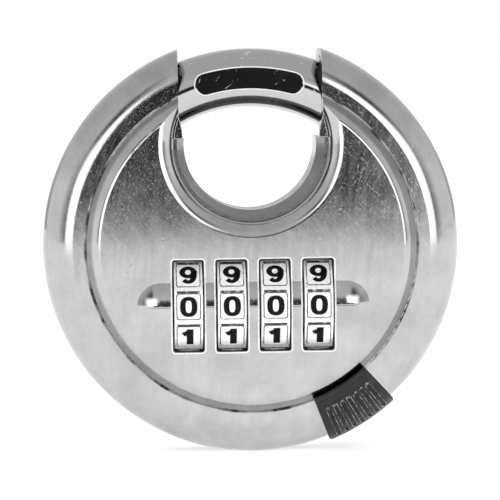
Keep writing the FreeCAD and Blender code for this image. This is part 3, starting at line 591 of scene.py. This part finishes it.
WINDOW_WIDTH = 5.4 * MM
WINDOW_HEIGHT = 15.5 * MM
WINDOW_ROUND = 0.6 * MM
BOSS_ROUND = 8.9 * MM
PATH_STEP = 0.4 * MM
LIP_RADIUS = 0.14 * MM
LIP_SPREAD = 0.18 * MM
WALL_SHADE_THICK = 0.1 * MM
WALL_SHADE_GAP = 0.02 * MM
WALL_SHADE_TOP = 0.15 * MM
WALL_SHADE_FOOT = 1.1 * MM
INDEX_HALF_LENGTH = 16.5 * MM
INDEX_GAP = 0.25 * MM
SHADE_HEIGHT = 0.2 * MM
SHADE_TOP = 0.04 * MM
SHADE_FOOT = 0.42 * MM
Y_AXIS = Vector((0, 1, 0))


def case_front(drop):
    """The depth of the front at a height from the dials' axis, boss included."""
    rise = BOSS_ROUND - math.sqrt(max(BOSS_ROUND**2 - drop**2, 0))
    return min(BOSS_TOP + rise, PLATEAU)


def tube(mesh, path, radius, sides=8, closed=True):
    """A tube along a path, closed to a loop or with two capped ends."""
    rings = []
    count = len(path)
    for i, p in enumerate(path):
        ahead = path[(i + 1) % count] if closed or i < count - 1 else p
        behind = path[i - 1] if closed or i > 0 else p
        way = (ahead - behind).normalized()
        out = way.cross(Y_AXIS).normalized()
        over = out.cross(way)
        ring = []
        for k in range(sides):
            a = 2 * math.pi * k / sides
            off = (out * math.cos(a) + over * math.sin(a)) * radius
            ring.append(mesh.verts.new(p + off))
        rings.append(ring)
    join_rings(mesh, rings, closed)
    if not closed:
        mesh.faces.new(rings[0][::-1])
        mesh.faces.new(rings[-1])


def wall_strip(mesh, path):
    """A thin dark band of painted shade that lines a window's wall below its lip."""
    corners = (
        (WALL_SHADE_GAP, WALL_SHADE_TOP),
        (WALL_SHADE_THICK, WALL_SHADE_TOP),
        (WALL_SHADE_THICK, WALL_SHADE_FOOT),
        (WALL_SHADE_GAP, WALL_SHADE_FOOT),
    )
    rings = []
    count = len(path)
    for i, p in enumerate(path):
        way = (path[(i + 1) % count] - path[i - 1]).normalized()
        inward = way.cross(Y_AXIS).normalized()
        if inward.dot(p - path[0]) > 0 and inward.dot(p - path[count // 2]) > 0:
            inward = -inward
        ring = [p + inward * across + Y_AXIS * depth for across, depth in corners]
        rings.append([mesh.verts.new(point) for point in ring])
    join_rings(mesh, rings, closed=True, material=1)


def window_path(axis, spread):
    """Points round a window on the curved front, spread beyond its edge."""
    width, height = WINDOW_WIDTH + spread, WINDOW_HEIGHT + spread
    outline = rounded_rectangle(width, height, WINDOW_ROUND, 6)
    path = []
    for k, (x, z) in enumerate(outline):
        nx, nz = outline[(k + 1) % len(outline)]
        steps = max(1, round(abs(nz - z) / PATH_STEP))
        for part in range(steps):
            t = part / steps
            px, pz = x + (nx - x) * t, z + (nz - z) * t
            path.append(Vector((axis.x + px, case_front(pz), axis.z + pz)))
    return path


def make_window_lips():
    for i, axis in enumerate(DIAL_AXES, start=1):
        mesh = bmesh.new()
        # The lip is real; its pale nickel in place of the case's steel is a painted highlight.
        tube(mesh, window_path(axis, LIP_SPREAD), LIP_RADIUS)
        wall_strip(mesh, window_path(axis, 0.0))
        lip = new_object(f"window_lip_{i}", mesh, [NICKEL, PAINTED_SHADE])
        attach(lip, "case")


def make_index_shade():
    """Painted shade along the upper wall of the index line, between the windows."""
    ends = [-INDEX_HALF_LENGTH]
    half_window = WINDOW_WIDTH / 2 + INDEX_GAP
    for axis in DIAL_AXES:
        ends += [axis.x - half_window, axis.x + half_window]
    ends.append(INDEX_HALF_LENGTH)
    mesh = bmesh.new()
    foot = DIAL_AXES[0].z
    top = foot + SHADE_HEIGHT
    for low, high in zip(ends[::2], ends[1::2]):
        outline = [(low, foot), (high, foot), (high, top), (low, top)]
        prism(mesh, outline, BOSS_TOP + SHADE_FOOT, BOSS_TOP + SHADE_TOP)
    shade = new_object("index_shade", mesh, [PAINTED_SHADE])
    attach(shade, "case")


# ---------- ears, valley, spring and the shackle's recess ----------

# The ear lips' outline is in millimetres from the disc's centre. Its inner side is
# listed, and its outer side follows the eye's neck.
EAR_LIP = [(12.1, 22.4), (11.75, 21.0), (11.4, 19.6), (11.3, 18.3), (11.45, 18.08)]
NECK_CENTRE = 17.0
NECK_RADIUS = 12.9
NECK_FROM = 4.8
NECK_TO = 20.2
NECK_STEPS = 8
EAR_LIP_LOW = 5.6 * MM
EAR_LIP_HIGH = 9.3 * MM
EAR_LIP_EDGE = 0.25 * MM


def make_ear_lips():
    """The steel turned in at the foot of each ear, over the liner's ends."""
    outline = list(EAR_LIP)
    for i in range(NECK_STEPS + 1):
        a = math.radians(NECK_FROM + (NECK_TO - NECK_FROM) * i / NECK_STEPS)
        x, z = NECK_RADIUS * math.cos(a), NECK_RADIUS * math.sin(a)
        outline.append((x, NECK_CENTRE + z))
    for place, side in (("left", -1), ("right", 1)):
        mesh = bmesh.new()
        points = [(side * x * MM, DISC.z + z * MM) for x, z in outline]
        prism(mesh, points, -EAR_LIP_LOW, -EAR_LIP_HIGH)
        lip = new_object(f"ear_lip_{place}", mesh, [STEEL])
        bevelled(lip, EAR_LIP_EDGE, 3)
        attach(lip, "case")


VALLEY_RADIUS = 27.86 * MM
VALLEY_HEIGHT = 8.44 * MM
VALLEY_LINE = 0.13 * MM
VALLEY_END = 62.0
VALLEY_STEPS = 240


def make_valley_line():
    """Painted shade in the valley between rim and plateau, from one ear round to the other."""
    path = []
    for i in range(VALLEY_STEPS + 1):
        a = math.radians(VALLEY_END - (180 + 2 * VALLEY_END) * i / VALLEY_STEPS)
        path.append(on_disc(VALLEY_RADIUS, -VALLEY_HEIGHT, a))
    mesh = bmesh.new()
    tube(mesh, path, VALLEY_LINE, closed=False)
    line = new_object("valley_line", mesh, [VALLEY])
    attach(line, "case")


def make_change_spring():
    """The cone spring, a copy fixed to the case; in the lock it flattens on its seat as the spindle shifts."""
    spring = bpy.data.objects.new("change_cone", NODES["change_spring"].data.copy())
    bpy.context.scene.collection.objects.link(spring)
    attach(spring, "case")
    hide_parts("change_spring")
    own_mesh(spring)


RING_RADIUS = 28.0 * MM
BAR_RADIUS = 4.95 * MM
RECESS_HALF_ANGLE = math.radians(15.2)
RECESS_HALF_WIDTH = 1.85 * MM
RECESS_EDGE = 0.11 * MM
RECESS_SUNK = 0.03 * MM
RECESS_SIDE_STEPS = 60
RECESS_END_STEPS = 24


def make_recess_lip():
    """The rolled edge round the recess on the bar's round front, painted pale as a highlight."""
    path = []
    for side in (1, -1):
        radius = RING_RADIUS + side * RECESS_HALF_WIDTH
        for i in range(RECESS_SIDE_STEPS + 1):
            share = 1 - 2 * i / RECESS_SIDE_STEPS
            a = math.pi / 2 + side * RECESS_HALF_ANGLE * share
            path.append((radius * math.cos(a), radius * math.sin(a)))
        end = math.pi / 2 - side * RECESS_HALF_ANGLE
        cx, cz = RING_RADIUS * math.cos(end), RING_RADIUS * math.sin(end)
        begin = end if side == 1 else end + math.pi
        for i in range(1, RECESS_END_STEPS):
            a = begin - math.pi * i / RECESS_END_STEPS
            x, z = RECESS_HALF_WIDTH * math.cos(a), RECESS_HALF_WIDTH * math.sin(a)
            path.append((cx + x, cz + z))
    points = []
    for x, z in path:
        off = math.hypot(x, z) - RING_RADIUS
        depth = math.sqrt(BAR_RADIUS**2 - off**2) - RECESS_SUNK
        points.append(DISC + Vector((x, -depth, z)))
    mesh = bmesh.new()
    tube(mesh, points, RECESS_EDGE)
    # The edge is real; its pale nickel in place of the bar's chrome is a painted highlight.
    lip = new_object("recess_lip", mesh, [NICKEL])
    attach(lip, "shackle_arm")


# ---------- lever cap ----------

LEVER_CENTRE = math.radians(-58.3)
LEVER_HALF_SPAN = math.radians(20.9 / 2)
LEVER_COLUMNS = 300
CORNER = 1.0 * MM
EDGE_CENTRE = 29.8 * MM
EDGE_HEIGHT = 3.2 * MM
CAP_OUTER = 6.1 * MM
CAP_INNER = 5.4 * MM
CAP_EDGE = 0.14 * MM
ROUND_STEPS = 64
SIDE_STEPS = 16
INSIDE_STEPS = 16
INSIDE_START = (28.4 * MM, 8.6 * MM)

# The cap's inner lip in section, as (radius, height) in millimetres, from its root.
LIP_PROFILE = [(28.1, 8.6), (27.5, 9.3), (27.32, 9.6), (27.4, 9.88), (27.7, 10.02)]
LIP_PROFILE += [(28.05, 9.98), (28.28, 9.82), (28.42, 9.52), (28.6, 9.36)]
LIP_PROFILE += [(28.95, 9.3), (29.3, 9.3)]
LIP_INNER = LIP_PROFILE[3][0] * MM
FLAT = (0.0, 0.0)  # the way out of the surface where nothing is cut into it

GRIP_GROOVES = 7
GRIP_PITCH = math.radians(2.45)
GRIP_HALF_WIDTH = 0.27 * MM
GRIP_DEPTH = 0.34 * MM
GRIP_END = 58.5  # the slope where the grooves end, in degrees round the edge
GRIP_END_LENGTH = 6.0  # the slope over which a groove's end is rounded
GRIP_BRIM = 1.25  # a groove's brim, in half widths from its middle
GRIP_WALL = 0.5  # how wide its sloping wall is, in half widths
NO_GROOVE = 9.0
GLINT_BAND = (1.2, 1.65)  # the brim painted with glints, in half widths
GLINT_END = (1.3, 3.0)  # the inner end painted with a glint: reach, and slope in degrees

SCREW_SEAT = 1.33 * MM
SCREW_DEPTH = 0.55 * MM
SCREW_SLOPE = 80.0
SEAT_WALL = 0.12 * MM


def cap_profile():
    """The cap's outside, front half: radius, height and the way out of the surface."""
    points = [(radius * MM, height * MM, FLAT) for radius, height in LIP_PROFILE]
    for i in range(ROUND_STEPS + 1):
        a = math.pi / 2 * i / ROUND_STEPS
        out = (math.sin(a), math.cos(a))
        radius = EDGE_CENTRE + CAP_OUTER * out[0]
        points.append((radius, EDGE_HEIGHT + CAP_OUTER * out[1], out))
    for i in range(1, SIDE_STEPS + 1):
        height = EDGE_HEIGHT * (1 - i / SIDE_STEPS)
        points.append((EDGE_CENTRE + CAP_OUTER, height, (1.0, 0.0)))
    return points


def cap_inside():
    """The cap's inside, front half: radius and height."""
    points = [INSIDE_START]
    for i in range(INSIDE_STEPS + 1):
        a = math.pi / 2 * i / INSIDE_STEPS
        radius = EDGE_CENTRE + CAP_INNER * math.sin(a)
        points.append((radius, EDGE_HEIGHT + CAP_INNER * math.cos(a)))
    return points


def grip_reach(angle, radius, slope):
    """How far a place is from the middle of the nearest groove, in half widths."""
    nearest = round(angle / GRIP_PITCH)
    if abs(nearest) > GRIP_GROOVES // 2 or radius < EDGE_CENTRE - 0.01 * MM:
        return NO_GROOVE
    across = abs(angle - nearest * GRIP_PITCH) * radius
    along = max((slope - GRIP_END) / GRIP_END_LENGTH, 0.0)
    return math.hypot(across / GRIP_HALF_WIDTH, along)


def clamped(value):
    return min(max(value, 0.0), 1.0)


def cut_depth(angle, radius, height, out):
    """How deep the surface is cut at a place: the grooves and the screw's seat."""
    if out == FLAT:
        return 0.0
    slope = math.degrees(math.atan2(out[0], out[1]))
    reach = grip_reach(angle, radius, slope)
    depth = GRIP_DEPTH * clamped((GRIP_BRIM - reach) / GRIP_WALL)
    if slope > SCREW_SLOPE:
        far = math.hypot(angle * radius, height)
        seat = clamped((SCREW_SEAT + SEAT_WALL / 2 - far) / SEAT_WALL)
        depth = max(depth, SCREW_DEPTH * seat)
    return depth


def half_span(radius):
    """The half span at a radius, shorter toward the two edges: round corners."""
    outer = EDGE_CENTRE + CAP_OUTER
    over = max(radius - (outer - CORNER), (LIP_INNER + CORNER * 0.5) - radius, 0.0)
    over = min(over, CORNER)
    return LEVER_HALF_SPAN - (CORNER - math.sqrt(CORNER**2 - over**2)) / radius


def is_glinting(angle, radius, out):
    """Whether a spot of the cap takes a painted glint: on a groove's brim or inner end."""
    if out == FLAT:
        return False
    slope = math.degrees(math.atan2(out[0], out[1]))
    reach = grip_reach(angle, radius, slope)
    on_brim = GLINT_BAND[0] < reach < GLINT_BAND[1]
    return on_brim or (reach < GLINT_END[0] and slope < GLINT_END[1])


def make_lever():
    """The ribbed cap, in columns of points from one end to the other."""
    mesh = bmesh.new()
    front, inside = cap_profile(), cap_inside()
    outside = [(*point, 1) for point in front]
    outside += [(*point, -1) for point in front[-2::-1]]
    hollow = [(radius, -height) for radius, height in inside]
    hollow += [(radius, height) for radius, height in reversed(inside)]
    rings = []
    for k in range(LEVER_COLUMNS + 1):
        share = 2 * k / LEVER_COLUMNS - 1
        ring = []
        for radius, height, out, side in outside:
            angle = share * half_span(radius)
            depth = cut_depth(angle, radius, height, out)
            cut_height = (height - depth * out[1]) * side
            cut_radius = radius - depth * out[0]
            ring.append(on_disc(cut_radius, -cut_height, LEVER_CENTRE + angle))
        for radius, height in hollow:
            turn = LEVER_CENTRE + share * half_span(radius)
            ring.append(on_disc(radius, -height, turn))
        rings.append([mesh.verts.new(point) for point in ring])
    join_rings(mesh, rings, closed=False)
    mark_glints(mesh, outside, len(rings[0]))
    cap_ends(mesh, rings, len(outside))
    cap = new_object("lever_grip", mesh, [NYLON, NYLON_GLINT])
    bevelled(cap, CAP_EDGE, 3, 50)
    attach(cap, "shackle_arm")
    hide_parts("lever_cap")


def mark_glints(mesh, outside, count):
    """Gives the painted-glint material to the faces on the grooves' brims and inner ends."""
    for number, face in enumerate(mesh.faces):
        k, i = divmod(number, count)
        if i < len(outside):
            radius, _, out, _ = outside[i]
            angle = (2 * (k + 0.5) / LEVER_COLUMNS - 1) * half_span(radius)
            face.material_index = int(is_glinting(angle, radius, out))


def cap_ends(mesh, rings, outer_count):
    """Closes both ends of the cap with strips between its outside and its inside."""
    for ring, flip in ((rings[0], False), (rings[-1], True)):
        outside = ring[:outer_count]
        inner = ring[outer_count:][::-1]
        inner_count = len(inner)
        i = j = 0
        while i < outer_count - 1 or j < inner_count - 1:
            ahead_out = (i + 1) / (outer_count - 1)
            ahead_in = (j + 1) / (inner_count - 1)
            outer_next = i < outer_count - 1 and ahead_out <= ahead_in
            if j == inner_count - 1 or outer_next:
                face = (outside[i], outside[i + 1], inner[j])
                i += 1
            else:
                face = (outside[i], inner[j + 1], inner[j])
                j += 1
            mesh.faces.new(face[::-1] if flip else face)


def build():
    make_dials()
    make_window_lips()
    make_index_shade()
    make_ear_lips()
    make_recess_lip()
    make_change_spring()
    make_valley_line()
    make_lever()


# ---------- studio ----------

WALL_LEVEL = 0.8
CEILING_LEVEL = 0.66
CORNER_SHADE = 0.3
SIDE_GLOW = 0.32
DARK_DEPTH = 0.97
BOX_LEVEL = 2.6
FLOOR_GLOW = 0.35
WORLD_TINT = (0.985, 0.995)
WHITE = (1, 1, 1, 1)


def studio_level(t, x, y, z):
    """How bright the studio is in each direction, given as the ray's x, y and z."""
    across = t.maths("ABSOLUTE", x)

    # Grey walls, darker overhead.
    level = t.ramp(z, 0.3, 0.9, WALL_LEVEL, CEILING_LEVEL)

    # A soft shade where the walls turn the corner, and a glow out at the sides.
    near = t.times(
        t.ramp(across, 0.45, 0.6, 0.0, CORNER_SHADE),
        t.ramp(across, 0.7, 0.9, 1.0, 0.0),
        t.ramp(z, 0.1, 0.35, 1.0, 0.0),
    )
    level = t.times(level, t.rest(near))
    far = t.ramp(across, 0.65, 0.9, 0.0, SIDE_GLOW)
    level = t.maths("ADD", level, t.times(far, t.ramp(z, 0.1, 0.6, 1.0, 0.0)))

    # The dark room behind the camera, open in the middle above it.
    dark = t.times(t.ramp(y, -0.9, -0.72, 1.0, 0.0), t.ramp(z, -0.075, -0.05))
    above = t.times(t.ramp(z, 0.09, 0.2), t.ramp(across, 0.2, 0.34, 1.0, 0.0))
    dark = t.times(dark, t.rest(above))
    level = t.times(level, t.rest(t.times(dark, DARK_DEPTH)))

    # A white box to the left and to the right of the camera.
    boxes = t.times(
        t.ramp(across, 0.1, 0.17),
        t.ramp(across, 0.42, 0.6, 1.0, 0.0),
        t.ramp(z, 0.12, 0.3, 1.0, 0.0),
        t.ramp(z, -0.4, -0.2),
        t.ramp(y, -0.3, 0.0, 1.0, 0.0),
    )
    level = t.maths("ADD", level, t.times(boxes, BOX_LEVEL))

    # The pale floor's glow from below.
    low = t.times(t.ramp(z, -0.3, -0.085, 1.0, 0.0), FLOOR_GLOW)
    return t.maths("ADD", level, low)


def make_world():
    """The studio that the metal reflects, and a plain white background behind it."""
    world = bpy.data.worlds.new("studio")
    world.use_nodes = True
    bpy.context.scene.world = world
    t = Tree(world.node_tree, fade="SMOOTHSTEP")

    split = t.add("ShaderNodeSeparateXYZ")
    t.link(t.add("ShaderNodeTexCoord").outputs["Generated"], split.inputs["Vector"])
    level = studio_level(t, *split.outputs)

    tint = t.add("ShaderNodeCombineColor")
    for name, share in zip(("Red", "Green"), WORLD_TINT):
        t.link(t.times(level, share), tint.inputs[name])
    t.link(level, tint.inputs["Blue"])
    rays = t.add("ShaderNodeLightPath").outputs["Is Camera Ray"]
    background = t.add("ShaderNodeBackground")
    t.link(t.mixed(rays, tint.outputs["Color"], WHITE), background.inputs["Color"])
    output = t.add("ShaderNodeOutputWorld")
    t.link(background.outputs["Background"], output.inputs["Surface"])


FLOOR_FRONT = 0.55
FLOOR_REACH = 12.0
FLOOR_GAP = 0.05 * MM
FLOOR_EMISSION = 0.62


def make_floor():
    mesh = bmesh.new()
    level = CAD_LOW.z - FLOOR_GAP
    front, back = -FLOOR_FRONT, FLOOR_REACH
    left, right = -FLOOR_REACH, FLOOR_REACH
    corners = [(left, front), (right, front), (right, back), (left, back)]
    mesh.faces.new([mesh.verts.new((x, y, level)) for x, y in corners])
    s = Surface("pale_paper")
    s.shade(Base_Color=s.mixed(s.noise(30.0), grey(0.9), grey(0.93)), Roughness=0.9)
    s.shade(Emission_Color=(0.99, 0.995, 1.0, 1.0), Emission_Strength=FLOOR_EMISSION)
    floor = new_object("floor", mesh, [s.material], closed=False)


# Each lamp: place from the disc's centre, size, power in watts, colour.
LAMPS = {
    "left_box": ((-0.4, -0.72, 0.12), (0.3, 0.5), 0.45, (1, 1, 1)),
    "right_box": ((0.42, -0.7, 0.1), (0.3, 0.5), 0.34, (1, 1, 1)),
    "top_box": ((0.0, -0.1, 0.8), (0.8, 0.6), 0.25, (1, 0.99, 0.97)),
}


def make_lights():
    """Soft lamps that the metal doesn't mirror: the world holds what it mirrors."""
    for name, (place, size, power, colour) in LAMPS.items():
        light = bpy.data.lights.new(name, "AREA")
        light.shape = "RECTANGLE"
        light.size, light.size_y = size
        light.energy = power
        light.color = colour
        lamp = bpy.data.objects.new(name, light)
        lamp.location = DISC + Vector(place)
        lamp.rotation_mode = "QUATERNION"
        lamp.rotation_quaternion = (lamp.location - DISC).to_track_quat("Z", "Y")
        lamp.visible_glossy = False
        bpy.context.scene.collection.objects.link(lamp)


CAMERA_AZIMUTH = math.radians(-2.5)
CAMERA_ELEVATION = math.radians(4.2)
CAMERA_ROLL = math.radians(-0.7)
CAMERA_DISTANCE = 0.45
CAMERA_DROP = 1.2 * MM
VIEW_WIDTH = 0.0849
SENSOR = 36.0


def make_camera():
    data = bpy.data.cameras.new("camera")
    data.sensor_width = SENSOR
    data.lens = SENSOR * CAMERA_DISTANCE / VIEW_WIDTH
    camera = bpy.data.objects.new("camera", data)
    level = math.cos(CAMERA_ELEVATION)
    x, y = math.sin(CAMERA_AZIMUTH) * level, -math.cos(CAMERA_AZIMUTH) * level
    back = Vector((x, y, math.sin(CAMERA_ELEVATION)))
    aim = DISC - Vector((0.0, 0.0, CAMERA_DROP))
    camera.location = aim + back * CAMERA_DISTANCE
    camera.rotation_mode = "QUATERNION"
    turn = (-back).to_track_quat("-Z", "Y")
    roll = Matrix.Rotation(CAMERA_ROLL, 3, "Z").to_quaternion()
    camera.rotation_quaternion = turn @ roll
    bpy.context.scene.collection.objects.link(camera)
    bpy.context.scene.camera = camera


build()
make_world()
make_floor()
make_lights()
make_camera()
bpy.context.scene.view_settings.view_transform = "Standard"
